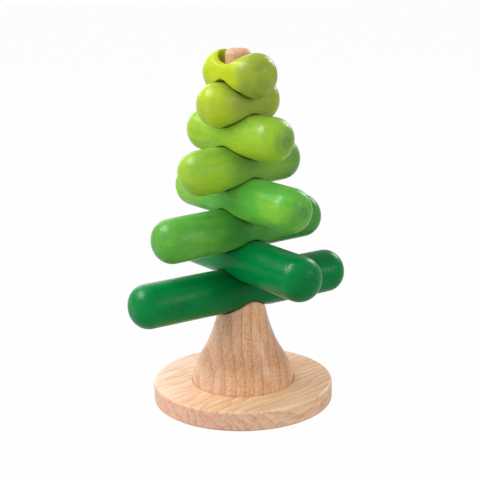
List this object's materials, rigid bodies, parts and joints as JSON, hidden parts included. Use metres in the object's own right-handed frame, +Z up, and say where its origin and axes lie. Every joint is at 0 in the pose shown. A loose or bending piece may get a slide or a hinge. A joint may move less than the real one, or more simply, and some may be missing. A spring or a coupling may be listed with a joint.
{
  "type": "stacking tree toy",
  "caption": "Wooden stacking tree: green round-ended branches with saddle notches cross and nest on a rod, on a flared trunk and round base.",
  "frame": {"origin": "centre of the base disc's underside, below the rod", "axes": "+Z up along the rod, -Y towards the picture's viewer, +X to the picture's right"},
  "size_m": [0.148, 0.1274, 0.2426],
  "materials": {
    "base_wood": "pale rubberwood, clear satin lacquer",
    "trunk_wood": "pale rubberwood, clear satin lacquer",
    "rod_wood": "pinkish beech, sanded",
    "screw_steel": "plain zinc plated",
    "branch_1_stain": "yellow-green stain, satin lacquer",
    "branch_2_stain": "olive-lime stain, satin lacquer",
    "branch_3_stain": "lime green stain, satin lacquer",
    "branch_4_stain": "leaf green stain, satin lacquer",
    "branch_5_stain": "grass green stain, satin lacquer",
    "branch_6_stain": "mid green stain, satin lacquer",
    "branch_7_stain": "deep green stain, satin lacquer",
    "branch_8_stain": "dark green stain, satin lacquer"
  },
  "bodies": {
    "stand": {"base_disc": "base_wood", "trunk": "trunk_wood", "rod": "rod_wood", "screw_left": "screw_steel", "screw_right": "screw_steel"},
    "branch_1": {"branch_1": "branch_1_stain"},
    "branch_2": {"branch_2": "branch_2_stain"},
    "branch_3": {"branch_3": "branch_3_stain"},
    "branch_4": {"branch_4": "branch_4_stain"},
    "branch_5": {"branch_5": "branch_5_stain"},
    "branch_6": {"branch_6": "branch_6_stain"},
    "branch_7": {"branch_7": "branch_7_stain"},
    "branch_8": {"branch_8": "branch_8_stain"}
  },
  "joints": [
    {"name": "branch_8_lift", "type": "slide", "parent": "stand", "child": "branch_8", "axis": [0, 0, 1], "range_m": [0, 0.1805]},
    {"name": "branch_7_lift", "type": "slide", "parent": "branch_8", "child": "branch_7", "axis": [0, 0, 1], "range_m": [0, 0.159]},
    {"name": "branch_6_lift", "type": "slide", "parent": "branch_7", "child": "branch_6", "axis": [0, 0, 1], "range_m": [0, 0.138]},
    {"name": "branch_5_lift", "type": "slide", "parent": "branch_6", "child": "branch_5", "axis": [0, 0, 1], "range_m": [0, 0.1165]},
    {"name": "branch_4_lift", "type": "slide", "parent": "branch_5", "child": "branch_4", "axis": [0, 0, 1], "range_m": [0, 0.0955]},
    {"name": "branch_3_lift", "type": "slide", "parent": "branch_4", "child": "branch_3", "axis": [0, 0, 1], "range_m": [0, 0.074]},
    {"name": "branch_2_lift", "type": "slide", "parent": "branch_3", "child": "branch_2", "axis": [0, 0, 1], "range_m": [0, 0.053]},
    {"name": "branch_1_lift", "type": "slide", "parent": "branch_2", "child": "branch_1", "axis": [0, 0, 1], "range_m": [0, 0.033]}
  ]
}
